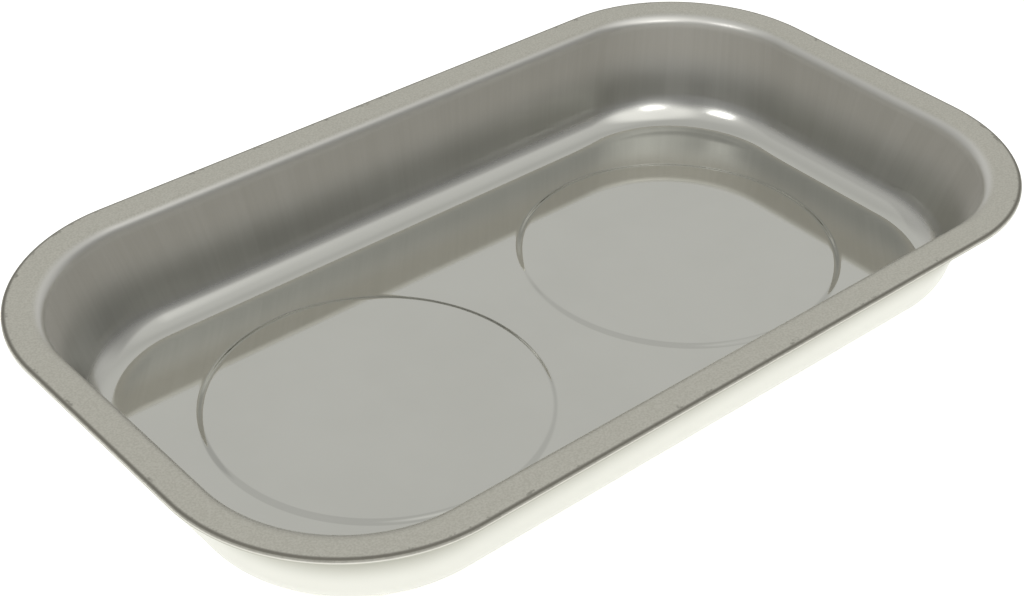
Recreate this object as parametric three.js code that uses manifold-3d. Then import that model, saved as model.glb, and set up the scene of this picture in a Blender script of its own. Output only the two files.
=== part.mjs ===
// Magnetic parts tray: a long stamped stainless-steel dish with two raised round pads in its floor,
// standing on two rubber-covered ring magnets. Each magnet is held by a nut on a stud welded under its pad.
// Millimetres. X runs along the tray, Z points up, and the origin is below the tray's centre, on the bench.
import * as THREE from "three";
import { mergeVertices } from "three/addons/utils/BufferGeometryUtils.js";
import Module from "manifold-3d";

// ---- driving dimensions: the dish ----
const trayLength = 240;
const trayWidth = 141.5;
const sheetThickness = 0.6;
const dishDepth = 29; // from the rim's top face down to the floor's top face
const rimCornerRadius = 43.4; // of the outer edge, seen from above
const mouthCornerRadius = 34; // where the rim starts to roll over into the wall
const wallFootCornerRadius = 36.5; // where the wall meets the floor fillet
const floorCornerRadius = 29.5; // of the flat part of the floor
const rimWidth = 6; // from the outer edge to where the mouth starts to roll over
const mouthInsideRadius = 2.4; // on the inside of the bend from the rim into the wall
const lipInsideRadius = 0.2; // on the inside of the bend from the rim down into the lip
const lipStraight = 0.3; // the lip's upright part, below its bend
const floorFilletRadius = 9;
const wallSlope = THREE.MathUtils.degToRad(10); // of the wall, from upright

// ---- driving dimensions: the raised pads ----
const padMargin = 1.5; // from the rubber cover out to the edge of the pad's flat
const padStepWidth = 2; // of the sloped step round the pad
const padGap = 13.4; // of plain floor between the two pads
const padHeight = 0.7;

// ---- driving dimensions: the magnet bases ----
const coverRadius = 38.3;
const coverWall = 2.4;
const coverFloor = 1.7;
const coverEdgeRound = 1.2;
const coverHole = 18;
const collarWall = 1.4; // of the cover's collar, which lines the magnet's bore
const plateThickness = 2;
const studDiameter = 5;
const studFlangeDiameter = 8;
const studFlangeThickness = 0.8;
const studTipRecess = 0.9; // how far the stud's tip stays above the bench
const studOverrun = 0.2; // of the stud's tip past the nut
const studTipChamfer = 0.6;
const washerDiameter = 10;
const washerThickness = 1;
const springWasherDiameter = 9.2;
const springWasherThickness = 1.2;
const springWasherSplit = 0.9;
const springWasherSlant = THREE.MathUtils.degToRad(36); // of the split, from upright
const nutAcrossFlats = 8;
const nutThickness = 4;

// ---- clearances ----
const contactGap = 0.3; // left between pieces that touch
const coverClearance = 0.3; // between the magnet and the cover round it
const boltClearance = 0.3; // round the stud, in whatever is threaded onto it

// ---- mesh fineness ----
const cornerSteps = 12; // of a quarter turn of the dish's outline
const lipSteps = 2; // of the lip's turn
const mouthSteps = 4; // of the roll-over
const filletSteps = 6; // of the floor fillet
const roundSteps = 48; // round a disc
const smallRoundSteps = 24; // round a fastener

const wasm = await Module();
wasm.setup();

function toSolid(geometry) {
  const bare = geometry.index ? geometry.toNonIndexed() : geometry.clone();
  bare.deleteAttribute("normal");
  bare.deleteAttribute("uv");
  const merged = mergeVertices(bare, 1e-4);
  const vertProperties = merged.attributes.position.array;
  const triVerts = new Uint32Array(merged.index.array);
  return new wasm.Manifold(new wasm.Mesh({ numProp: 3, vertProperties, triVerts }));
}

function toGeometry(solid) {
  const mesh = solid.getMesh();
  const geometry = new THREE.BufferGeometry();
  geometry.setAttribute("position", new THREE.BufferAttribute(mesh.vertProperties, 3));
  geometry.setIndex(new THREE.BufferAttribute(mesh.triVerts, 1));
  const faceted = geometry.toNonIndexed();
  faceted.computeVertexNormals();
  return faceted;
}

// A turned piece: radius and height pairs, listed with the solid on the left of the path, turned about Z.
function turned(profile, steps) {
  const points = profile.map(([radius, height]) => new THREE.Vector2(radius, height));
  const geometry = new THREE.LatheGeometry(points, steps);
  geometry.rotateX(Math.PI / 2);
  return geometry;
}

// A closed ring profile repeats its first point, so that the turned surface closes on itself.
function turnedRing(profile, steps) {
  return turned([...profile, profile[0]], steps);
}

// ---- the dish ----

// One loop of the dish: a rectangle with rounded corners, so far in from the outer edge and so high.
function outlineLoop({ inset, height, cornerRadius }) {
  const alongX = trayLength / 2 - inset - cornerRadius;
  const alongY = trayWidth / 2 - inset - cornerRadius;
  const corners = [[1, 1], [-1, 1], [-1, -1], [1, -1]];
  return corners.flatMap(([signX, signY], quarter) =>
    Array.from({ length: cornerSteps + 1 }, (_, step) => {
      const angle = (quarter + step / cornerSteps) * (Math.PI / 2);
      const x = signX * alongX + cornerRadius * Math.cos(angle);
      const y = signY * alongY + cornerRadius * Math.sin(angle);
      return new THREE.Vector3(x, y, height);
    }),
  );
}

// An arc of the dish's section, as inset and height pairs, from one direction angle to another.
function sectionArc(centreInset, centreHeight, radius, from, to, steps) {
  return Array.from({ length: steps + 1 }, (_, step) => {
    const angle = from + ((to - from) * step) / steps;
    return [centreInset + radius * Math.cos(angle), centreHeight + radius * Math.sin(angle)];
  });
}

// ---- levels, from the bench up through the magnet base to the rim ----
const nutUnder = studTipRecess + studOverrun;
const nutTop = nutUnder + nutThickness;
const springWasherUnder = nutTop + contactGap;
const springWasherTop = springWasherUnder + springWasherThickness;
const washerUnder = springWasherTop + contactGap;
const washerTop = washerUnder + washerThickness;
const plateUnder = washerTop + contactGap;
const plateTop = plateUnder + plateThickness;
const padUnder = plateTop + contactGap;
const floorUnder = padUnder - padHeight;
const floorTop = floorUnder + sheetThickness;
const rimTop = floorTop + dishDepth;

// ---- the dish's section ----
const quarterTurn = Math.PI / 2;
const lipRadius = lipInsideRadius + sheetThickness;
const mouthRadius = mouthInsideRadius + sheetThickness;
const wallRunHeight = dishDepth - mouthRadius * (1 - Math.sin(wallSlope))
  - floorFilletRadius * (1 - Math.sin(wallSlope));
const mouthEnd = rimWidth + mouthRadius * Math.cos(wallSlope);
const filletStart = mouthEnd + wallRunHeight * Math.tan(wallSlope);
const flatFloorInset = filletStart + floorFilletRadius * Math.cos(wallSlope);

// The upper face of the sheet, offset into the sheet by depth, from the lip's turn to the flat floor.
function sheetFace(depth) {
  const lipTurn = [2 * quarterTurn, quarterTurn, lipSteps];
  const lip = sectionArc(lipRadius, rimTop - lipRadius, lipRadius - depth, ...lipTurn);
  const mouthTurn = [quarterTurn, wallSlope, mouthSteps];
  const mouth = sectionArc(rimWidth, rimTop - mouthRadius, mouthRadius - depth, ...mouthTurn);
  const filletTurn = [wallSlope - 2 * quarterTurn, -quarterTurn, filletSteps];
  const filletCentre = floorTop + floorFilletRadius;
  const fillet = sectionArc(flatFloorInset, filletCentre, floorFilletRadius + depth, ...filletTurn);
  return [[depth, rimTop - lipRadius - lipStraight], ...lip, ...mouth, ...fillet];
}

const lipLoops = 1 + (lipSteps + 1); // the cut edge, and then the turn

// The outline's corner radius has its own value at each level, and runs evenly from one to the next.
const cornerLevels = [
  [0, rimCornerRadius],
  [rimWidth, mouthCornerRadius],
  [filletStart, wallFootCornerRadius],
  [flatFloorInset, floorCornerRadius],
];

function cornerRadiusAt(inset) {
  const lower = Math.max(1, cornerLevels.findIndex(([levelInset]) => inset <= levelInset + 1e-6));
  const [fromInset, fromRadius] = cornerLevels[lower - 1];
  const [toInset, toRadius] = cornerLevels[lower];
  return THREE.MathUtils.mapLinear(inset, fromInset, toInset, fromRadius, toRadius);
}

// Skins a list of loops, each joined to the next, and closes both ends.
function skin(loops) {
  const count = loops[0].length;
  const positions = loops.flat().flatMap((point) => point.toArray());
  const index = [];
  for (let row = 0; row + 1 < loops.length; row += 1) {
    for (let column = 0; column < count; column += 1) {
      const next = (column + 1) % count;
      const a = row * count + column;
      const b = row * count + next;
      index.push(a, b, a + count, b, b + count, a + count);
    }
  }
  const lastRow = (loops.length - 1) * count;
  for (let column = 1; column + 1 < count; column += 1) {
    index.push(0, column + 1, column);
    index.push(lastRow, lastRow + column, lastRow + column + 1);
  }
  const geometry = new THREE.BufferGeometry();
  geometry.setAttribute("position", new THREE.Float32BufferAttribute(positions, 3));
  geometry.setIndex(index);
  return geometry;
}

// ---- the pads ----
const padTopRadius = coverRadius + padMargin;
const padBaseRadius = padTopRadius + padStepWidth;
const padSpacing = 2 * padBaseRadius + padGap;

// A frustum that follows the pad's sloped step, from below the sheet's face to the pad's flat.
function padFrustum(centreX, faceHeight, radiusChange, reachBelow) {
  const topRadius = padTopRadius + radiusChange;
  const slope = padStepWidth / padHeight;
  const bottomRadius = topRadius + padStepWidth + slope * reachBelow;
  const bottom = faceHeight - reachBelow;
  const top = faceHeight + padHeight;
  const geometry = turned([[0, bottom], [bottomRadius, bottom], [topRadius, top], [0, top]], roundSteps);
  geometry.translate(centreX, 0, 0);
  return toSolid(geometry);
}

function loopAt([inset, height]) {
  return outlineLoop({ inset, height, cornerRadius: cornerRadiusAt(inset) });
}

function trayShell() {
  const top = sheetFace(0).map(loopAt);
  const under = sheetFace(sheetThickness).map(loopAt).reverse();
  let shell = toSolid(skin([...under, ...top]));
  // The dish filled up to its rim, to keep a pad that reaches the fillet from standing out through it.
  const filled = toSolid(skin(under.slice(0, -lipLoops)));
  for (const side of [-1, 1]) {
    const centreX = (side * padSpacing) / 2;
    const slopeAngle = Math.atan2(padHeight, padStepWidth);
    const underShrink = sheetThickness * Math.tan(slopeAngle / 2);
    shell = shell.add(padFrustum(centreX, floorTop, 0, sheetThickness / 2).intersect(filled));
    shell = shell.subtract(padFrustum(centreX, floorUnder, -underShrink, sheetThickness));
  }
  return toGeometry(shell);
}

// ---- one magnet base, built about its own axis and placed under its pad ----
const magnetTop = plateUnder - contactGap;
const magnetUnder = coverFloor + contactGap;
const magnetRadius = coverRadius - coverWall - coverClearance;
const collarRadius = coverHole / 2 + collarWall;
const magnetBoreRadius = collarRadius + coverClearance;
const studRadius = studDiameter / 2;
const studHole = studRadius + boltClearance;

// A flat ring between two heights.
function flatRing(outerRadius, innerRadius, bottom, top, steps) {
  return turnedRing(
    [[innerRadius, bottom], [outerRadius, bottom], [outerRadius, top], [innerRadius, top]],
    steps,
  );
}

function weldStud() {
  const flangeRadius = studFlangeDiameter / 2;
  const flangeUnder = plateTop - studFlangeThickness;
  return turned([
    [0, studTipRecess],
    [studRadius - studTipChamfer, studTipRecess],
    [studRadius, studTipRecess + studTipChamfer],
    [studRadius, flangeUnder],
    [flangeRadius, flangeUnder],
    [flangeRadius, plateTop],
    [0, plateTop],
  ], smallRoundSteps);
}

// The plate is counterbored on top for the stud's flange, so it sits flat against the pad.
function polePlate() {
  const seatRadius = studFlangeDiameter / 2 + boltClearance;
  const seatHeight = plateTop - studFlangeThickness - contactGap;
  return turnedRing([
    [studHole, plateUnder],
    [magnetRadius, plateUnder],
    [magnetRadius, plateTop],
    [seatRadius, plateTop],
    [seatRadius, seatHeight],
    [studHole, seatHeight],
  ], roundSteps);
}

function magnetRing() {
  return flatRing(magnetRadius, magnetBoreRadius, magnetUnder, magnetTop, roundSteps);
}

// The cover is a channel turned about the axis: a side wall round the magnet, a floor under it, and a
// collar inside its bore. The side wall's top edge reaches up into the hollow under the pad.
function rubberCover() {
  const holeRadius = coverHole / 2;
  const diagonal = coverEdgeRound * (1 - Math.SQRT1_2);
  return turnedRing([
    [holeRadius, 0],
    [coverRadius - coverEdgeRound, 0],
    [coverRadius - diagonal, diagonal],
    [coverRadius, coverEdgeRound],
    [coverRadius, plateTop],
    [coverRadius - coverWall, plateTop],
    [coverRadius - coverWall, coverFloor],
    [collarRadius, coverFloor],
    [collarRadius, magnetTop],
    [holeRadius, magnetTop],
  ], roundSteps);
}

function plainWasher() {
  return flatRing(washerDiameter / 2, studHole, washerUnder, washerTop, smallRoundSteps);
}

// A split ring, clamped flat, with its slanting gap.
function springWasher() {
  const radius = springWasherDiameter / 2;
  const ring = flatRing(radius, studHole, springWasherUnder, springWasherTop, smallRoundSteps);
  const cutter = new THREE.BoxGeometry(springWasherDiameter, springWasherSplit, 3 * springWasherThickness);
  cutter.rotateX(springWasherSlant);
  cutter.translate(radius, 0, (springWasherUnder + springWasherTop) / 2);
  return toGeometry(toSolid(ring).subtract(toSolid(cutter)));
}

// A hexagon with its corners turned down, and a plain bore.
function hexNut() {
  const cornerRadius = nutAcrossFlats / 2 / Math.cos(Math.PI / 6);
  const chamfer = cornerRadius - nutAcrossFlats / 2;
  const chamferHeight = 2 * chamfer * Math.tan(Math.PI / 6);
  const prism = new THREE.CylinderGeometry(cornerRadius, cornerRadius, nutThickness, 6);
  prism.rotateX(Math.PI / 2);
  prism.translate(0, 0, nutUnder + nutThickness / 2);
  const rounding = turned([
    [0, nutUnder],
    [nutAcrossFlats / 2, nutUnder],
    [cornerRadius + chamfer, nutUnder + chamferHeight],
    [cornerRadius + chamfer, nutTop - chamferHeight],
    [nutAcrossFlats / 2, nutTop],
    [0, nutTop],
  ], smallRoundSteps);
  const bore = turned([
    [0, nutUnder - contactGap],
    [studHole, nutUnder - contactGap],
    [studHole, nutTop + contactGap],
    [0, nutTop + contactGap],
  ], smallRoundSteps);
  return toGeometry(toSolid(prism).intersect(toSolid(rounding)).subtract(toSolid(bore)));
}

// ---- finishes ----

function finish(color, roughness, metalness) {
  return new THREE.MeshStandardMaterial({ color, roughness, metalness });
}

const baseParts = [
  { name: "weld_stud", make: weldStud, color: 0xb4b2aa, roughness: 0.35, metalness: 1 },
  { name: "pole_plate", make: polePlate, color: 0xa9aaa8, roughness: 0.4, metalness: 1 },
  { name: "magnet_ring", make: magnetRing, color: 0x3a3a3d, roughness: 0.7, metalness: 0.2 },
  { name: "rubber_cover", make: rubberCover, color: 0x1b1b1c, roughness: 0.75, metalness: 0 },
  { name: "plain_washer", make: plainWasher, color: 0xc3c2bc, roughness: 0.3, metalness: 1 },
  { name: "spring_washer", make: springWasher, color: 0xa7a6a0, roughness: 0.35, metalness: 1 },
  { name: "hex_nut", make: hexNut, color: 0xc3c2bc, roughness: 0.3, metalness: 1 },
];

// ---- assembly ----

function magnetBase(side, label) {
  const base = new THREE.Group();
  for (const part of baseParts) {
    const mesh = new THREE.Mesh(part.make(), finish(part.color, part.roughness, part.metalness));
    mesh.name = `${part.name}_${label}`;
    base.add(mesh);
  }
  base.position.x = (side * padSpacing) / 2;
  return base;
}

const tray = new THREE.Group();
const shell = new THREE.Mesh(trayShell(), finish(0xb0afa7, 0.3, 1));
shell.name = "tray_shell";
tray.add(shell, magnetBase(-1, "left"), magnetBase(1, "right"));

export default tray;
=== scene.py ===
import math

import bpy
from mathutils import Matrix, Vector


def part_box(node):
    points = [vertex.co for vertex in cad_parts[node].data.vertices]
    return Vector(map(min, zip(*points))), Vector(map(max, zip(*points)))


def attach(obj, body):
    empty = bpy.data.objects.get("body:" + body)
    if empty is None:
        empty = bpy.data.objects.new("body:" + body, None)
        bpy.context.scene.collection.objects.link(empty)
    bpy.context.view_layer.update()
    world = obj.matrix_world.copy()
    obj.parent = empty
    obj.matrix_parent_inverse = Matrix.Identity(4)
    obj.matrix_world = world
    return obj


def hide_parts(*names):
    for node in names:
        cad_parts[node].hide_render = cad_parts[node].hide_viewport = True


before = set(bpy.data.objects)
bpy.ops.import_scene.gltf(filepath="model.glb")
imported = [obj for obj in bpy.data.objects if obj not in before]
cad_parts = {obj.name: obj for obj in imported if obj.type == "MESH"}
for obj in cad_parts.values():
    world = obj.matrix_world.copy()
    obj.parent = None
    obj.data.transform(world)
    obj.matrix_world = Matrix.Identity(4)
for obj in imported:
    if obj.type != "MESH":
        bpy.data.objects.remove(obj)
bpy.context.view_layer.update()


# ======== Tray shell ========
# One sheet of stainless steel, drawn in a press into a long dish: a lip turned down round the edge, a flat
# rim, a rolled mouth, sloped walls, a wide floor fillet and a flat floor with two round pads raised in it.
# The press leaves the floor close to a mirror, draws fine upright streaks down the walls and scuffs the rim.

MM = 0.001
shell_low, shell_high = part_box("tray_shell")
cover_low, cover_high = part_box("rubber_cover_right")
tray_length = shell_high.x - shell_low.x
tray_width = shell_high.y - shell_low.y
rim_top = shell_high.z
sheet = 0.6 * MM
lip_radius = 0.8 * MM
lip_straight = 0.3 * MM
rim_width = 6 * MM
mouth_radius = 3 * MM
fillet_radius = 9 * MM
wall_slope = math.radians(10)
rim_corner = 43.4 * MM
mouth_corner = 34 * MM
wall_corner = 36.5 * MM
floor_corner = 29.5 * MM
corner_steps = 40
floor_top = shell_low.z + sheet
floor_lead = 1 * MM
pad_centre = (cover_low.x + cover_high.x) / 2
pad_top_radius = (cover_high.x - cover_low.x) / 2 + 1.5 * MM
pad_height = 0.7 * MM
pad_step = 2 * MM
pad_margin = 0.6 * MM
pad_rings = 18
pad_round_steps = 160
dish_seam = 0.004 * MM

quarter = math.pi / 2
wall_run = rim_top - floor_top - (mouth_radius + fillet_radius) * (1 - math.sin(wall_slope))
mouth_end = rim_width + mouth_radius * math.cos(wall_slope)
wall_foot = mouth_end + wall_run * math.tan(wall_slope)
floor_edge = wall_foot + fillet_radius * math.cos(wall_slope)
corner_levels = [
    (0, rim_corner), (rim_width, mouth_corner), (wall_foot, wall_corner), (floor_edge, floor_corner),
]


def smooth_step(share):
    share = min(max(share, 0), 1)
    return share * share * (3 - 2 * share)


def corner_radius(inset):
    """The outline's corner radius at that distance in from the outer edge, easing from level to level."""
    for (start, first), (end, last) in zip(corner_levels, corner_levels[1:]):
        if inset <= end:
            return first + (last - first) * smooth_step((inset - start) / (end - start))
    return floor_corner - (inset - floor_edge)


def arc(centre_x, centre_z, radius, start, end, steps):
    """Points of an arc in the section, both ends included."""
    angles = [start + (end - start) * step / steps for step in range(steps + 1)]
    return [(centre_x + radius * math.cos(angle), centre_z + radius * math.sin(angle)) for angle in angles]


def straight(start, end, steps):
    """Points between two others, neither end included."""
    return [
        tuple(a + (b - a) * step / steps for a, b in zip(start, end))
        for step in range(1, steps)
    ]


def section_mesh(name, points):
    """A loose chain of points that a node tree reads by index."""
    mesh = bpy.data.meshes.new(name)
    mesh.from_pydata(points, [], [])
    section = bpy.data.objects.new(name, mesh)
    bpy.context.scene.collection.objects.link(section)
    return section


# The dish's section runs from the lip's lower edge over the rim and down the wall to the flat floor. Each
# point holds its distance in from the outer edge, the outline's corner radius there, and its height.
lip = arc(lip_radius, rim_top - lip_radius, lip_radius, 2 * quarter, quarter, steps=8)
mouth = arc(rim_width, rim_top - mouth_radius, mouth_radius, quarter, wall_slope, steps=14)
fillet = arc(
    floor_edge, floor_top + fillet_radius, fillet_radius, wall_slope - 2 * quarter, -quarter, steps=32
)
dish_points = [(0, rim_top - lip_radius - lip_straight)]
dish_points += lip + straight(lip[-1], mouth[0], steps=14)
dish_points += mouth + straight(mouth[-1], fillet[0], steps=10)
dish_points += fillet + [(floor_edge + 0.3 * floor_lead, floor_top), (floor_edge + floor_lead, floor_top)]
dish_section = section_mesh("dish_section", [(x, corner_radius(x), z) for x, z in dish_points])

# The pad's section runs from the floor up the step and in to the middle: radius, nothing, and height.
pad_reach = pad_top_radius + pad_step + pad_margin
pad_points = [(pad_reach, 0)]
pad_points += [
    (pad_top_radius + pad_step * (1 - ring / pad_rings), pad_height * smooth_step(ring / pad_rings))
    for ring in range(pad_rings + 1)
]
pad_points += [(x, pad_height) for x in (pad_top_radius - pad_margin, pad_top_radius * 0.5, 0)]
pad_section = section_mesh("pad_section", [(x, 0, floor_top + z) for x, z in pad_points])


class NodeTree:
    """Builds a node tree by short calls: a number or an output socket goes into each input."""

    def __init__(self, tree):
        self.tree = tree

    def add(self, kind, *values, **settings):
        node = self.tree.nodes.new(kind)
        for setting, value in settings.items():
            setattr(node, setting, value)
        for socket, value in zip(node.inputs, values):
            self.set(socket, value)
        return node

    def set(self, socket, value):
        if isinstance(value, bpy.types.NodeSocket):
            self.tree.links.new(value, socket)
        elif value is not None:
            socket.default_value = value

    def math(self, operation, first, second=None):
        return self.add("ShaderNodeMath", first, second, operation=operation).outputs[0]

    def vector(self, x, y, z):
        return self.add("ShaderNodeCombineXYZ", x, y, z).outputs[0]

    def split(self, vector):
        return self.add("ShaderNodeSeparateXYZ", vector).outputs

    def ramp(self, value, low, high, first=0.0, last=1.0):
        """Eases from first to last as value goes from low to high."""
        node = self.add("ShaderNodeMapRange", value, low, high, first, last, interpolation_type="SMOOTHSTEP")
        return node.outputs[0]

    def join(self, *geometries):
        node = self.add("GeometryNodeJoinGeometry")
        for geometry in reversed(geometries):
            self.tree.links.new(geometry, node.inputs[0])
        return node.outputs[0]

    def move(self, geometry, place, shift=None):
        """Sets every point's place, where one is given, and then shifts it."""
        return self.add("GeometryNodeSetPosition", geometry, None, place, shift).outputs[0]


def geometry_tree(name, inputs):
    """A geometry node tree with these named inputs, and its input sockets by name."""
    tree = bpy.data.node_groups.new(name, "GeometryNodeTree")
    for label, kind in inputs.items():
        tree.interface.new_socket(label, in_out="INPUT", socket_type="NodeSocket" + kind)
    tree.interface.new_socket("Geometry", in_out="OUTPUT", socket_type="NodeSocketGeometry")
    nodes = NodeTree(tree)
    return nodes, nodes.add("NodeGroupInput").outputs


def finish_tree(nodes, geometry, material):
    real = nodes.add("GeometryNodeRealizeInstances", geometry).outputs[0]
    painted = nodes.add("GeometryNodeSetMaterial", real, None, material).outputs[0]
    nodes.add("NodeGroupOutput", painted)


def set_inputs(modifier, values):
    """Sets a node modifier's inputs, which go by the sockets' identifiers."""
    for item in modifier.node_group.interface.items_tree:
        if item.in_out == "INPUT" and item.name in values:
            modifier[item.identifier] = values[item.name]


def made_piece(name, tree, values, *more):
    """Runs the tree on an empty mesh, then the other modifiers, and keeps the result as a plain mesh."""
    builder = bpy.data.objects.new(name + "_builder", bpy.data.meshes.new(name + "_start"))
    bpy.context.scene.collection.objects.link(builder)
    modifier = builder.modifiers.new("shape", "NODES")
    modifier.node_group = tree
    set_inputs(modifier, values)
    for kind, settings in more:
        extra = builder.modifiers.new(kind.lower(), kind)
        for setting, value in settings.items():
            setattr(extra, setting, value)
    depsgraph = bpy.context.evaluated_depsgraph_get()
    mesh = bpy.data.meshes.new_from_object(builder.evaluated_get(depsgraph), depsgraph=depsgraph)
    builder.modifiers.clear()
    bpy.data.objects.remove(builder)
    mesh.name = name
    finish = mesh.materials[-1]
    mesh.materials.clear()
    mesh.materials.append(finish)
    mesh.set_sharp_from_angle(angle=math.radians(40))
    piece = bpy.data.objects.new(name, mesh)
    bpy.context.scene.collection.objects.link(piece)
    return piece


def swept_rows(nodes, section, columns):
    """A grid with columns round the piece and rows along a section, and each point's place in the section."""
    chain = nodes.add("GeometryNodeObjectInfo", section).outputs["Geometry"]
    rows = nodes.add("GeometryNodeAttributeDomainSize", chain, component="MESH").outputs["Point Count"]
    grid = nodes.add("GeometryNodeMeshGrid", 1.0, 1.0, columns, rows).outputs[0]
    index = nodes.add("GeometryNodeInputIndex").outputs[0]
    column = nodes.math("FLOOR", nodes.math("DIVIDE", nodes.math("ADD", index, 0.5), rows))
    row = nodes.math("SUBTRACT", index, nodes.math("MULTIPLY", column, rows))
    sample = nodes.add("GeometryNodeSampleIndex", chain, data_type="FLOAT_VECTOR")
    nodes.set(sample.inputs["Value"], nodes.add("GeometryNodeInputPosition").outputs[0])
    nodes.set(sample.inputs["Index"], row)
    return grid, column, sample.outputs[0]


def outline_point(nodes, given, column, inset, radius):
    """X and Y of a point on the tray's outline, a rectangle with rounded corners, at that inset."""
    per_corner = nodes.math("ADD", given["Corner Steps"], 1)
    corner = nodes.math("FLOOR", nodes.math("DIVIDE", nodes.math("ADD", column, 0.5), per_corner))
    step = nodes.math("SUBTRACT", column, nodes.math("MULTIPLY", corner, per_corner))
    turn = nodes.math("ADD", corner, nodes.math("DIVIDE", step, given["Corner Steps"]))
    angle = nodes.math("MULTIPLY", turn, quarter)
    middle = nodes.math("MULTIPLY", nodes.math("ADD", corner, 0.5), quarter)
    reach = nodes.math("ADD", inset, radius)
    place = []
    for size, wave in ((given["Length"], "COSINE"), (given["Width"], "SINE")):
        side = nodes.math("SIGN", nodes.math(wave, middle))
        along = nodes.math("SUBTRACT", nodes.math("MULTIPLY", size, 0.5), reach)
        bend = nodes.math("MULTIPLY", radius, nodes.math(wave, angle))
        place.append(nodes.math("ADD", nodes.math("MULTIPLY", side, along), bend))
    return place


def turned_point(nodes, turn, radius):
    """X and Y of a point at that share of a turn and that radius."""
    angle = nodes.math("MULTIPLY", turn, math.tau)
    x = nodes.math("MULTIPLY", radius, nodes.math("COSINE", angle))
    y = nodes.math("MULTIPLY", radius, nodes.math("SINE", angle))
    return x, y


def dish_skin(nodes, given, columns):
    """The dish's section carried round the outline. Each point keeps its inset and the wall's run there."""
    grid, column, point = swept_rows(nodes, given["Dish Section"], nodes.math("ADD", columns, 1))
    inset, radius, height = nodes.split(point)
    x, y = outline_point(nodes, given, column, inset, radius)
    skin = nodes.move(grid, nodes.vector(x, y, height))
    run_x, run_y = outline_point(nodes, given, column, given["Wall Foot"], given["Wall Corner"])
    kept = (("guide", nodes.vector(run_x, run_y, 0), "FLOAT_VECTOR"), ("inset", inset, "FLOAT"))
    for label, value, kind in kept:
        store = nodes.add("GeometryNodeStoreNamedAttribute", skin, None, label, value, data_type=kind)
        skin = store.outputs[0]
    return skin


def floor_outline(nodes, given, columns):
    """The outer edge of the flat floor."""
    ring = nodes.add("GeometryNodeCurvePrimitiveCircle", columns).outputs[0]
    column = nodes.add("GeometryNodeInputIndex").outputs[0]
    x, y = outline_point(nodes, given, column, given["Floor Edge"], given["Floor Corner"])
    return nodes.move(ring, nodes.vector(x, y, 0))


def pad_skin(nodes, given, shift):
    """A pad's section turned about its middle."""
    grid, column, point = swept_rows(nodes, given["Pad Section"], nodes.math("ADD", given["Round Steps"], 1))
    radius, _, height = nodes.split(point)
    x, y = turned_point(nodes, nodes.math("DIVIDE", column, given["Round Steps"]), radius)
    return nodes.move(grid, nodes.vector(x, y, height), shift)


def pad_outline(nodes, given, shift):
    """The hole that a pad leaves in the flat floor."""
    ring = nodes.add("GeometryNodeCurvePrimitiveCircle", given["Round Steps"])
    nodes.set(ring.inputs["Radius"], given["Pad Reach"])
    return nodes.move(ring.outputs[0], None, shift)


def dish_tree():
    """The sheet's upper face: the dish's skin, the two pads and the flat floor between them."""
    nodes, given = geometry_tree("dish", {
        "Length": "Float", "Width": "Float", "Corner Steps": "Int", "Round Steps": "Int",
        "Wall Foot": "Float", "Wall Corner": "Float", "Floor Edge": "Float", "Floor Corner": "Float",
        "Floor Height": "Float", "Pad Reach": "Float", "Pad Centre": "Float",
        "Dish Section": "Object", "Pad Section": "Object", "Steel": "Material",
    })
    columns = nodes.math("MULTIPLY", nodes.math("ADD", given["Corner Steps"], 1), 4)
    faces, outlines = [dish_skin(nodes, given, columns)], [floor_outline(nodes, given, columns)]
    for side in (-1, 1):
        shift = nodes.vector(nodes.math("MULTIPLY", given["Pad Centre"], side), 0, 0)
        faces.append(pad_skin(nodes, given, shift))
        outlines.append(pad_outline(nodes, given, shift))
    flat = nodes.add("GeometryNodeFillCurve", nodes.join(*outlines)).outputs[0]
    faces.append(nodes.move(flat, None, nodes.vector(0, 0, given["Floor Height"])))
    whole = nodes.add("GeometryNodeMergeByDistance", nodes.join(*faces), None, dish_seam).outputs[0]
    finish_tree(nodes, nodes.add("GeometryNodeSetShadeSmooth", whole).outputs[0], given["Steel"])
    return nodes.tree


class Shader(NodeTree):
    """A material's node tree, with a principled shader on its output."""

    def __init__(self, name, **constants):
        self.material = bpy.data.materials.new(name)
        self.material.use_nodes = True
        super().__init__(self.material.node_tree)
        self.tree.nodes.clear()
        self.surface = self.add("ShaderNodeBsdfPrincipled")
        self.add("ShaderNodeOutputMaterial", self.surface.outputs[0])
        self.place = self.add("ShaderNodeTexCoord").outputs["Object"]
        for label, value in constants.items():
            self.surface.inputs[label.replace("_", " ")].default_value = value

    def stretched(self, place, scale):
        node = self.add("ShaderNodeMapping", place)
        node.inputs["Scale"].default_value = scale
        return node.outputs[0]

    def noise(self, place, scale, detail=2.0, roughness=0.5):
        node = self.add("ShaderNodeTexNoise", noise_dimensions="3D")
        self.set(node.inputs["Vector"], place)
        node.inputs["Scale"].default_value = scale
        node.inputs["Detail"].default_value = detail
        node.inputs["Roughness"].default_value = roughness
        return node.outputs[0]

    def mix(self, share, first, second):
        node = self.add("ShaderNodeMix", data_type="FLOAT")
        for label, value in (("Factor", share), ("A", first), ("B", second)):
            self.set(node.inputs[label], value)
        return node.outputs[0]

    def blend(self, share, first, second):
        """A colour between two others."""
        node = self.add("ShaderNodeMix", data_type="RGBA")
        colours = [socket for socket in node.inputs if socket.type == "RGBA"]
        self.set(node.inputs[0], share)
        self.set(colours[0], first)
        self.set(colours[1], second)
        return node.outputs[2]

    def bump(self, height, distance, under=None):
        node = self.add("ShaderNodeBump")
        node.inputs["Distance"].default_value = distance
        self.set(node.inputs["Height"], height)
        self.set(node.inputs["Normal"], under)
        return node.outputs[0]

    def put(self, **sockets):
        for label, value in sockets.items():
            self.set(self.surface.inputs[label.replace("_", " ")], value)


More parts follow.
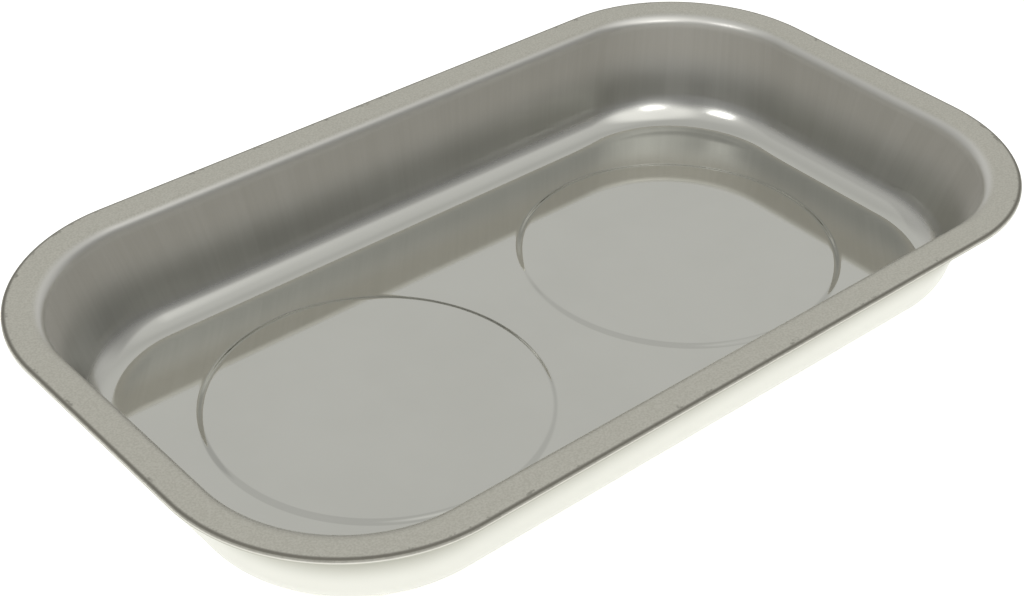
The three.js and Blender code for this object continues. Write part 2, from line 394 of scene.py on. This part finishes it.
def sheet_zones(look, height):
    """How far a point of the sheet belongs to each of its zones, from 0 to 1."""
    facing_up = look.split(look.add("ShaderNodeNewGeometry").outputs["Normal"])[2]
    return {
        "fillet": look.ramp(height, floor_top + 0.5 * MM, floor_top + 3 * MM),
        "wall": look.ramp(height, floor_top + 3 * MM, floor_top + 5.2 * MM),
        "high wall": look.ramp(height, floor_top + 9 * MM, rim_top - 8 * MM),
        "mouth": look.ramp(height, rim_top - 4 * MM, rim_top - 1.5 * MM),
        "rim": look.ramp(height, rim_top - 1 * MM, rim_top - 0.2 * MM),
        "turned edge": look.ramp(height, rim_top - 0.4 * MM, rim_top - 0.15 * MM),
        "outer face": look.ramp(facing_up, 0.02, 0.12, 1, 0),
    }


def sheet_marks(look, height):
    """The press's marks: streaks up the walls, along the wall's own run, speckle and smudges, and a noise
    that makes the dark line on the rim's edge ragged.
    """
    run_x, run_y, _ = look.split(look.add("ShaderNodeAttribute", attribute_name="guide").outputs["Vector"])
    up_wall = look.vector(run_x, run_y, height)
    return {
        "draw lines": look.noise(look.stretched(up_wall, (1, 1, 0.02)), 1000, 4, 0.6),
        "wide streaks": look.noise(look.stretched(up_wall, (1, 1, 0.04)), 150, 3, 0.5),
        "speckle": look.noise(look.place, 2100, 2, 0.5),
        "edge raggedness": look.noise(look.place, 300, 4, 0.65),
        "smudge": look.noise(look.place, 38, 3, 0.6),
    }


def sheet_roughness(look, zones, marks):
    """Near-mirror floor and fillet, satin walls that grow duller with height, and a scuffed rim."""
    polished = look.ramp(marks["smudge"], 0.35, 0.75, 0.035, 0.06)
    streaks = look.ramp(marks["wide streaks"], 0.35, 0.65, -0.01, 0.01)
    satin = look.math("ADD", look.mix(zones["high wall"], 0.31, 0.75), streaks)
    scuffed = look.ramp(marks["speckle"], 0.25, 0.75, 0.33, 0.42)
    rough = look.mix(zones["wall"], look.mix(zones["fillet"], polished, 0.16), satin)
    return look.mix(zones["rim"], look.mix(zones["mouth"], rough, 0.34), scuffed)


def sheet_colour(look, zones, marks):
    """The steel's tint, zone by zone, on the inner face and on the outer one, with painted light in it:
    painted shade on the lower wall and on the outer face's upper part, painted sheen on the fillet and a
    painted highlight on the mouth.
    """
    smudged = look.ramp(marks["smudge"], 0.3, 0.7)
    streaked = look.ramp(look.mix(0.5, marks["draw lines"], marks["wide streaks"]), 0.3, 0.7)
    speckled = look.ramp(marks["speckle"], 0.3, 0.7)
    floor = look.blend(smudged, (0.735, 0.735, 0.685, 1), (0.755, 0.755, 0.705, 1))
    # Painted shade: the lower wall is given a darker colour than the rest of the sheet, with the draw streaks
    # in it.
    low_wall_streaks_and_shade = look.blend(streaked, (0.5, 0.5, 0.475, 1), (0.54, 0.54, 0.515, 1))
    high_wall = look.blend(streaked, (0.71, 0.693, 0.643, 1), (0.75, 0.733, 0.687, 1))
    rim = look.blend(speckled, (0.66, 0.645, 0.565, 1), (0.765, 0.75, 0.67, 1))
    # Painted sheen: the fillet is given a lighter colour than the floor.
    inner = look.blend(zones["fillet"], floor, (0.85, 0.845, 0.795, 1))
    inner = look.blend(zones["wall"], inner, look.blend(zones["high wall"], low_wall_streaks_and_shade, high_wall))
    # Painted highlight: the rolled mouth is given the lightest colour on the sheet.
    inner = look.blend(zones["mouth"], inner, (0.88, 0.87, 0.82, 1))
    inner = look.blend(zones["rim"], inner, rim)
    # Painted shade: the outer face darkens from its foot towards the rim.
    outer = look.blend(zones["high wall"], (0.7, 0.7, 0.655, 1), (0.44, 0.44, 0.385, 1))
    return look.blend(zones["outer face"], inner, outer)


def dark_edge_and_bend_shade(look, zones, marks):
    """A ragged dark line along the rim's outer edge, dull and not metallic, with painted shade on the bend
    where the rim turns down.
    """
    inset = look.add("ShaderNodeAttribute", attribute_name="inset").outputs["Fac"]
    dark_edge_width = look.ramp(marks["edge raggedness"], 0.45, 0.75, -0.5 * MM, 1.3 * MM)
    ragged = look.math("ADD", dark_edge_width, look.math("MULTIPLY", marks["speckle"], 0.5 * MM))
    ragged_dark_edge = look.ramp(look.math("SUBTRACT", inset, ragged), 0, 1.1 * MM, 0.5, 0)
    # Painted shade: the top of the turned bend is made dark near the outer edge.
    bend_shade = look.ramp(inset, 0.5 * MM, 1.2 * MM, 0.85, 0)
    rim_dark_edge = look.math("MULTIPLY", zones["rim"], ragged_dark_edge)
    return look.math("MAXIMUM", rim_dark_edge, look.math("MULTIPLY", zones["turned edge"], bend_shade))


def stainless_sheet():
    look = Shader("drawn_stainless")
    height = look.split(look.place)[2]
    zones = sheet_zones(look, height)
    marks = sheet_marks(look, height)
    dark_edge = dark_edge_and_bend_shade(look, zones, marks)
    # The rim's outer edge is painted dark, dull and not metallic; on the turned bend this is painted shade.
    look.put(Base_Color=look.blend(dark_edge, sheet_colour(look, zones, marks), (0.16, 0.15, 0.12, 1)))
    look.put(Roughness=look.mix(dark_edge, sheet_roughness(look, zones, marks), 0.85))
    look.put(Metallic=look.math("SUBTRACT", 1.0, dark_edge))
    look.put(Normal=look.bump(look.math("MULTIPLY", marks["speckle"], zones["rim"]), 0.005 * MM))
    return look.material


# The tree makes the sheet's upper face, and Solidify gives the sheet its thickness.
tray_sheet = made_piece("tray_sheet", dish_tree(), {
    "Length": tray_length, "Width": tray_width, "Corner Steps": corner_steps, "Round Steps": pad_round_steps,
    "Wall Foot": wall_foot, "Wall Corner": wall_corner,
    "Floor Edge": floor_edge + floor_lead, "Floor Corner": corner_radius(floor_edge + floor_lead),
    "Floor Height": floor_top, "Pad Reach": pad_reach, "Pad Centre": pad_centre,
    "Dish Section": dish_section, "Pad Section": pad_section, "Steel": stainless_sheet(),
}, ("SOLIDIFY", {"thickness": sheet, "offset": -1.0, "use_even_offset": True}))
for section in (dish_section, pad_section):
    bpy.data.objects.remove(section)
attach(tray_sheet, "root")
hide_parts("tray_shell")


# ======== Rubber covers ========
# Under each pad a moulded black rubber cup holds a magnet against the tray and keeps it off the bench. Its
# underside has two raised rings with ribs between them, and a hole through which the nut is reached.

cover_radius = (cover_high.x - cover_low.x) / 2
cover_top = cover_high.z
cover_wall = 2.4 * MM
cover_floor = 1.7 * MM
cover_hole = 9 * MM
cover_round_steps = 144
collar_wall = 1.4 * MM
collar_top = 7.9 * MM
foot_ring = 3.2 * MM
foot_depth = 0.6 * MM
rib_count = 36
rib_width = 1.2 * MM
rib_crown = 0.45
rib_end = 0.4 * MM
rib_points = (9, 4, 3)
turned_seam = 0.002 * MM


def turned_tree():
    """Turns a section about an upright axis; the section's Y says how far a thread cuts in."""
    nodes, given = geometry_tree("turned", {
        "Section": "Object", "Round Steps": "Int", "Centre": "Vector", "Pitch": "Float", "Finish": "Material",
    })
    grid, column, point = swept_rows(nodes, given["Section"], nodes.math("ADD", given["Round Steps"], 1))
    radius, cut, height = nodes.split(point)
    turn = nodes.math("DIVIDE", column, given["Round Steps"])
    climb = nodes.math("SUBTRACT", nodes.math("DIVIDE", height, given["Pitch"]), turn)
    groove = nodes.math("MULTIPLY", nodes.math("PINGPONG", climb, 0.5), 2.0)
    radius = nodes.math("SUBTRACT", radius, nodes.math("MULTIPLY", cut, groove))
    x, y = turned_point(nodes, turn, radius)
    solid = nodes.move(grid, nodes.vector(x, y, height), given["Centre"])
    solid = nodes.add("GeometryNodeMergeByDistance", solid, None, turned_seam).outputs[0]
    finish_tree(nodes, nodes.add("GeometryNodeSetShadeSmooth", solid).outputs[0], given["Finish"])
    return nodes.tree


turning = turned_tree()


def rounded(corners, steps=4):
    """A closed chain round corners given as (radius, height, rounding), each rounded to its own radius."""
    chain = []
    for (x0, z0, _), (x1, z1, round_radius), (x2, z2, _) in zip(
        corners[-1:] + corners[:-1], corners, corners[1:] + corners[:1]
    ):
        if not round_radius:
            chain.append((x1, z1))
            continue
        corner = Vector((x1, z1))
        before = Vector((x0 - x1, z0 - z1)).normalized()
        after = Vector((x2 - x1, z2 - z1)).normalized()
        half = before.angle(after) / 2
        centre = corner + (before + after).normalized() * round_radius / math.sin(half)
        start = corner + before * round_radius / math.tan(half) - centre
        end = corner + after * round_radius / math.tan(half) - centre
        for step in range(steps + 1):
            bend = start.lerp(end, step / steps).normalized() * round_radius
            chain.append((centre.x + bend.x, centre.y + bend.y))
    return chain + chain[:1]


def turned_piece(name, chain, node, material, round_steps=128, cuts=None, pitch=1.0):
    """Turns a chain of (radius, height) points about the middle of a CAD node that it stands for."""
    low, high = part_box(node)
    cuts = cuts or [0] * len(chain)
    section = section_mesh(name + "_section", [(x, cut, z) for (x, z), cut in zip(chain, cuts)])
    piece = made_piece(name, turning, {
        "Section": section, "Round Steps": round_steps, "Finish": material, "Pitch": pitch,
        "Centre": ((low.x + high.x) / 2, (low.y + high.y) / 2, 0.0),
    })
    bpy.data.objects.remove(section)
    return piece


def on_tray(piece, node):
    """Everything is fixed to the tray, so each piece rides on the one body and stands for its CAD node."""
    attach(piece, "root")
    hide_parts(node)


def rib_bar(nodes, given):
    """One rib: a bar whose top and bottom fall away to its sides."""
    length = nodes.math("SUBTRACT", given["Outer Radius"], given["Inner Radius"])
    size = nodes.vector(length, given["Width"], given["Depth"])
    bar = nodes.add("GeometryNodeMeshCube", size, *rib_points).outputs[0]
    x, y, z = nodes.split(nodes.add("GeometryNodeInputPosition").outputs[0])
    across = nodes.math("DIVIDE", nodes.math("MULTIPLY", y, 2.0), given["Width"])
    fall = nodes.math("MULTIPLY", nodes.math("MULTIPLY", across, across), given["Crown"])
    crowned = nodes.math("MULTIPLY", z, nodes.math("SUBTRACT", 1.0, fall))
    return nodes.move(bar, nodes.vector(x, y, crowned))


def rib_tree():
    """The rib repeated round the hole, between the two foot rings, each one pointing outwards."""
    nodes, given = geometry_tree("cover_ribs", {
        "Count": "Int", "Inner Radius": "Float", "Outer Radius": "Float", "Width": "Float", "Depth": "Float",
        "Crown": "Float", "Centre": "Vector", "Rubber": "Material",
    })
    ring = nodes.add("GeometryNodeMeshCircle", given["Count"])
    middle = nodes.math("MULTIPLY", nodes.math("ADD", given["Inner Radius"], given["Outer Radius"]), 0.5)
    nodes.set(ring.inputs["Radius"], middle)
    x, y, _ = nodes.split(nodes.add("GeometryNodeInputPosition").outputs[0])
    ribs = nodes.add("GeometryNodeInstanceOnPoints", ring.outputs[0])
    nodes.set(ribs.inputs["Instance"], rib_bar(nodes, given))
    nodes.set(ribs.inputs["Rotation"], nodes.vector(0, 0, nodes.math("ARCTAN2", y, x)))
    finish_tree(nodes, nodes.move(ribs.outputs[0], None, given["Centre"]), given["Rubber"])
    return nodes.tree


def black_rubber():
    """Moulded rubber: matt with a fine grain, greyer where dust has settled."""
    look = Shader("moulded_rubber", Specular_IOR_Level=0.35)
    grain = look.noise(look.place, 2600, 3, 0.6)
    dust = look.noise(look.place, 90, 4, 0.65)
    dusty = look.ramp(dust, 0.45, 0.75)
    look.put(Base_Color=look.blend(dusty, (0.018, 0.018, 0.019, 1), (0.045, 0.044, 0.042, 1)))
    look.put(Roughness=look.ramp(dust, 0.3, 0.7, 0.5, 0.72))
    look.put(Normal=look.bump(grain, 0.02 * MM, look.bump(dust, 0.05 * MM)))
    return look.material


rubber, ribbing = black_rubber(), rib_tree()
cover_chain = rounded([
    (cover_hole, 0, 0.5 * MM),
    (cover_hole + foot_ring, 0, 0.4 * MM),
    (cover_hole + foot_ring, foot_depth, 0.15 * MM),
    (cover_radius - foot_ring, foot_depth, 0.15 * MM),
    (cover_radius - foot_ring, 0, 0.4 * MM),
    (cover_radius, 0, 1.2 * MM),
    (cover_radius, cover_top, 0.6 * MM),
    (cover_radius - cover_wall, cover_top, 0.3 * MM),
    (cover_radius - cover_wall, cover_floor, 0),
    (cover_hole + collar_wall, cover_floor, 0),
    (cover_hole + collar_wall, collar_top, 0.3 * MM),
    (cover_hole, collar_top, 0.3 * MM),
])
for side in ("left", "right"):
    node = "rubber_cover_" + side
    low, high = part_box(node)
    cup = turned_piece("rubber_cup_" + side, cover_chain, node, rubber, cover_round_steps)
    ribs = made_piece("rubber_ribs_" + side, ribbing, {
        "Count": rib_count, "Inner Radius": cover_hole + foot_ring - rib_end,
        "Outer Radius": cover_radius - foot_ring + rib_end, "Width": rib_width, "Depth": 2 * foot_depth,
        "Crown": rib_crown, "Rubber": rubber,
        "Centre": ((low.x + high.x) / 2, (low.y + high.y) / 2, foot_depth),
    })
    on_tray(cup, node)
    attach(ribs, "root")


# ======== Magnets ========
# Each cup holds a ferrite ring magnet under a round plate of plain steel, which carries its field to the
# tray. The ring is pressed and fired, so it is matt and its edges are blunt. The plate is punched.

magnet_hole = 10.7 * MM
magnet_edge = 0.5 * MM
plate_hole = 2.8 * MM
flange_seat = 4.3 * MM
seat_depth = 1 * MM


def ferrite():
    """Fired ferrite: charcoal grey in soft blotches, matt and gritty."""
    look = Shader("fired_ferrite")
    grain = look.noise(look.place, 1900, 4, 0.65)
    blotch = look.noise(look.place, 160, 3)
    blotched = look.ramp(blotch, 0.3, 0.7)
    look.put(Base_Color=look.blend(blotched, (0.035, 0.034, 0.036, 1), (0.075, 0.073, 0.074, 1)))
    look.put(Roughness=look.ramp(grain, 0.3, 0.7, 0.55, 0.8))
    look.put(Normal=look.bump(grain, 0.03 * MM, look.bump(blotch, 0.04 * MM)))
    return look.material


def plain_steel():
    """Rolled steel: fine lines one way, with brown stains."""
    look = Shader("punched_steel", Metallic=1.0)
    rolled = look.noise(look.stretched(look.place, (0.05, 1, 1)), 2200, 3, 0.6)
    stain = look.noise(look.place, 130, 4, 0.6)
    look.put(Base_Color=look.blend(look.ramp(stain, 0.4, 0.75), (0.5, 0.49, 0.47, 1), (0.32, 0.26, 0.2, 1)))
    look.put(Roughness=look.mix(look.ramp(stain, 0.3, 0.7), 0.32, 0.55))
    look.put(Normal=look.bump(rolled, 0.006 * MM))
    return look.material


ferrite_finish, plate_finish = ferrite(), plain_steel()
for side in ("left", "right"):
    node = "magnet_ring_" + side
    low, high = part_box(node)
    magnet_radius = (high.x - low.x) / 2
    magnet = turned_piece("ferrite_ring_" + side, rounded([
        (magnet_hole, low.z, magnet_edge), (magnet_radius, low.z, magnet_edge),
        (magnet_radius, high.z, magnet_edge), (magnet_hole, high.z, magnet_edge),
    ]), node, ferrite_finish)
    on_tray(magnet, node)

    node = "pole_plate_" + side
    low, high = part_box(node)
    plate_radius = (high.x - low.x) / 2
    seat = high.z - seat_depth
    plate = turned_piece("steel_plate_" + side, rounded([
        (plate_hole, low.z, 0.15 * MM), (plate_radius, low.z, 0.35 * MM),
        (plate_radius, high.z, 0.2 * MM), (flange_seat, high.z, 0.1 * MM),
        (flange_seat, seat, 0), (plate_hole, seat, 0.1 * MM),
    ]), node, plate_finish)
    on_tray(plate, node)


# ======== Studs, washers and nuts ========
# A threaded stud is welded under each pad by its flange and passes through the plate. A plain washer, a
# spring washer and a hexagon nut, all zinc plated, pull the plate up tight.

stud_radius = 2.5 * MM
stud_round_steps = 48
thread_pitch = 0.8 * MM
thread_depth = 0.45 * MM
thread_rows = 96
thread_relief = 0.6 * MM
flange_radius = 4 * MM
flange_height = 0.8 * MM
flange_bevel = 0.1 * MM
tip_chamfer = 0.6 * MM
washer_bore = 2.8 * MM
washer_round_steps = 96
spring_edge = 0.15 * MM
spring_split = 0.9 * MM
spring_slant = math.tan(math.radians(36))
nut_flat = 4 * MM
nut_bore = 2.6 * MM
nut_mouth = 2.8 * MM
nut_face = 3.4 * MM
nut_lead = 0.3 * MM
nut_bevel = math.tan(math.radians(30))
nut_round_steps = 144


def zinc_plated():
    """Zinc plating: bright, slightly blue and cloudy."""
    look = Shader("zinc_plating", Metallic=1.0)
    cloud = look.noise(look.place, 420, 3, 0.6)
    grain = look.noise(look.place, 3000, 3)
    clouded = look.ramp(cloud, 0.3, 0.7)
    look.put(Base_Color=look.blend(clouded, (0.66, 0.68, 0.7, 1), (0.76, 0.77, 0.76, 1)))
    look.put(Roughness=look.mix(clouded, 0.24, 0.4))
    look.put(Normal=look.bump(grain, 0.008 * MM))
    return look.material


def ring_mesh(name, chain, node, round_steps, rule, closed, material):
    """Carries a closed chain round the middle of a CAD node; the rule shapes each point on the way."""
    low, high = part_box(node)
    centre_x, centre_y = (low.x + high.x) / 2, (low.y + high.y) / 2
    chain = chain[:-1]
    rows = len(chain)
    columns = round_steps if closed else round_steps + 1
    points, faces = [], []
    for column in range(columns):
        for radius, z in chain:
            angle, radius, z = rule(column / round_steps, radius, z)
            points.append((centre_x + radius * math.cos(angle), centre_y + radius * math.sin(angle), z))
    for column in range(round_steps):
        here, there = column * rows, (column + 1) % columns * rows
        for row in range(rows):
            below = (row + 1) % rows
            faces.append((here + row, there + row, there + below, here + below))
    if not closed:
        faces.append(tuple(range(rows)))
        faces.append(tuple(reversed(range(round_steps * rows, columns * rows))))
    mesh = bpy.data.meshes.new(name)
    mesh.from_pydata(points, [], faces)
    mesh.materials.append(material)
    mesh.shade_smooth()
    mesh.set_sharp_from_angle(angle=math.radians(30))
    piece = bpy.data.objects.new(name, mesh)
    bpy.context.scene.collection.objects.link(piece)
    return piece


def threaded_stud(side):
    """The stud from its tip up: a chamfer, the thread, a short relief and the weld flange."""
    node = "weld_stud_" + side
    low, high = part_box(node)
    tip = low.z + tip_chamfer
    flange = high.z - flange_height
    thread_end = flange - thread_relief
    shank = straight((stud_radius, tip), (stud_radius, thread_end), thread_rows)
    chain = [(0, low.z), (stud_radius - tip_chamfer, low.z), (stud_radius, tip)] + shank
    head = [
        (stud_radius, thread_end), (stud_radius, flange),
        (flange_radius - flange_bevel, flange), (flange_radius, flange + flange_bevel),
        (flange_radius, high.z - flange_bevel), (flange_radius - flange_bevel, high.z), (0, high.z),
    ]
    cuts = [0, 0, 0.3 * thread_depth] + [thread_depth] * len(shank) + [0] * len(head)
    return turned_piece(
        "threaded_stud_" + side, chain + head, node, zinc, stud_round_steps, cuts, thread_pitch
    )


def flat_washer(side):
    """A punched washer, rounder on the edge where the punch went in."""
    node = "plain_washer_" + side
    low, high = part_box(node)
    washer_radius = (high.x - low.x) / 2
    return turned_piece("flat_washer_" + side, rounded([
        (washer_bore, low.z, 0.1 * MM), (washer_radius, low.z, 0.25 * MM),
        (washer_radius, high.z, 0.1 * MM), (washer_bore, high.z, 0.1 * MM),
    ]), node, zinc, washer_round_steps)


def split_washer(side):
    """A spring washer, cut through on a slant."""
    node = "spring_washer_" + side
    low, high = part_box(node)
    spring_radius = (high.y - low.y) / 2
    spring_middle = (low.z + high.z) / 2
    gap = spring_split / 2 / spring_radius

    def slanted(share, radius, z):
        lean = (z - spring_middle) * spring_slant / spring_radius
        return gap + share * (math.tau - 2 * gap) + lean, radius, z

    return ring_mesh("split_washer_" + side, rounded([
        (washer_bore, low.z, spring_edge), (spring_radius, low.z, spring_edge),
        (spring_radius, high.z, spring_edge), (washer_bore, high.z, spring_edge),
    ], steps=2), node, washer_round_steps, slanted, False, zinc)


def hexagon_nut(side):
    """A nut with six flats, its corners bevelled at both faces and its bore opened out at both ends."""
    node = "hex_nut_" + side
    low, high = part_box(node)
    nut_middle = (low.z + high.z) / 2
    nut_half = (high.z - low.z) / 2
    crown = nut_flat * 0.97
    corner = nut_flat * 1.2

    def six_sided(share, radius, z):
        angle = share * math.tau
        if radius > nut_flat:
            radius = nut_flat / math.cos((angle + math.pi / 6) % (math.pi / 3) - math.pi / 6)
            drop = max(0, radius - nut_flat * 1.02) * nut_bevel
            z = nut_middle + (z - nut_middle) * (1 - drop / nut_half)
        return angle, radius, z

    return ring_mesh("hexagon_nut_" + side, [
        (nut_mouth, low.z), (nut_face, low.z), (crown, low.z), (corner, low.z), (corner, nut_middle),
        (corner, high.z), (crown, high.z), (nut_face, high.z), (nut_mouth, high.z),
        (nut_bore, high.z - nut_lead), (nut_bore, low.z + nut_lead), (nut_mouth, low.z),
    ], node, nut_round_steps, six_sided, True, zinc)


zinc = zinc_plated()
for side in ("left", "right"):
    on_tray(threaded_stud(side), "weld_stud_" + side)
    on_tray(flat_washer(side), "plain_washer_" + side)
    on_tray(split_washer(side), "spring_washer_" + side)
    on_tray(hexagon_nut(side), "hex_nut_" + side)


# ======== Studio ========
# A white paper floor that glows, so that it stays white round the tray, and a pale room whose sides are
# brighter here and darker there, which is what the steel mirrors. Two softboxes light the far corner.

floor_reach = 4.0
paper_glow = 0.75
room_low, room_high = 0.4, 0.5
side_fade = 3
softbox_distance = 1.2
camera_target = Vector((-24.5 * MM, -18.4 * MM, rim_top))
camera_distance = 428.5 * MM
camera_azimuth, camera_elevation, camera_roll = 221.64, 36.11, 1.32


def direction(azimuth, elevation):
    """The way to a place in the room; azimuth turns from +Y toward +X, and both are in degrees."""
    azimuth, elevation = math.radians(azimuth), math.radians(elevation)
    level = math.cos(elevation)
    return Vector((math.sin(azimuth) * level, math.cos(azimuth) * level, math.sin(elevation)))


paper = Shader(
    "white_paper", Base_Color=(0.9, 0.9, 0.89, 1), Roughness=0.9,
    Emission_Color=(1, 1, 0.98, 1), Emission_Strength=paper_glow,
)
floor_mesh = bpy.data.meshes.new("studio_floor")
floor_corners = [(x * floor_reach, y * floor_reach, 0) for x, y in ((-1, -1), (1, -1), (1, 1), (-1, 1))]
floor_mesh.from_pydata(floor_corners, [], [(0, 1, 2, 3)])
floor_mesh.materials.append(paper.material)
studio_floor = bpy.data.objects.new("studio_floor", floor_mesh)
bpy.context.scene.collection.objects.link(studio_floor)

world = bpy.data.worlds.new("studio")
world.use_nodes = True
room = NodeTree(world.node_tree)
room.tree.nodes.clear()
toward = room.add("ShaderNodeTexCoord").outputs["Generated"]
rise = room.split(toward)[2]
brightness = room.ramp(rise, 0.0, 0.6, room_low, room_high)

# Each side of the room: azimuth, elevation, half-width and where it ends above, in degrees, then its gain.
for azimuth, elevation, spread, top, gain in (
    (38, 30, 44, 90, 0.075),
    (150, 22, 54, 37, -0.2),
    (142, 54, 30, 90, 0.06),
    (-48, 26, 50, 44, -0.08),
    (-133, 32, 20, 90, -0.17),
    (-172, 52, 34, 90, 0.36),
    (-104, 52, 28, 90, 0.06),
):
    aim = direction(azimuth, elevation)
    near = room.add("ShaderNodeVectorMath", toward, aim, operation="DOT_PRODUCT").outputs["Value"]
    edge, core = math.cos(math.radians(spread)), math.cos(math.radians(spread / 2))
    lobe = room.ramp(near, edge, core, 0.0, gain)
    if top < 90:
        fade_start, fade_end = (math.sin(math.radians(top + turn)) for turn in (-side_fade, side_fade))
        lobe = room.math("MULTIPLY", lobe, room.ramp(rise, fade_start, fade_end, 1.0, 0.0))
    brightness = room.math("ADD", brightness, lobe)

# Behind the tray the room is plain white.
seen = room.add("ShaderNodeLightPath").outputs["Is Camera Ray"]
brightness = room.math("MAXIMUM", brightness, seen)
background = room.add("ShaderNodeBackground", (1, 1, 0.985, 1), brightness)
room.add("ShaderNodeOutputWorld", background.outputs[0])
bpy.context.scene.world = world
bpy.context.scene.view_settings.view_transform = "Standard"

for name, azimuth, elevation, width, height, radiance in (
    ("softbox_left", -95, 51, 0.32, 0.3, 2.2),
    ("softbox_right", -170, 46, 0.28, 0.24, 2.3),
):
    aim = direction(azimuth, elevation)
    box = bpy.data.lights.new(name, "AREA")
    box.shape = "RECTANGLE"
    box.size, box.size_y = width, height
    box.energy = radiance * math.pi * width * height
    box_light = bpy.data.objects.new(name, box)
    box_turn = aim.to_track_quat("Z", "Y").to_matrix().to_4x4()
    box_light.matrix_world = Matrix.Translation(aim * softbox_distance) @ box_turn
    bpy.context.scene.collection.objects.link(box_light)

lens = bpy.data.cameras.new("camera")
lens.sensor_width = 36
lens.lens = 67.72
lens.clip_start = 0.02
camera = bpy.data.objects.new("camera", lens)
back = direction(camera_azimuth, camera_elevation)
facing = back.to_track_quat("Z", "Y").to_matrix().to_4x4()
roll = Matrix.Rotation(math.radians(camera_roll), 4, "Z")
camera.matrix_world = Matrix.Translation(camera_target + back * camera_distance) @ facing @ roll
bpy.context.scene.collection.objects.link(camera)
bpy.context.scene.camera = camera
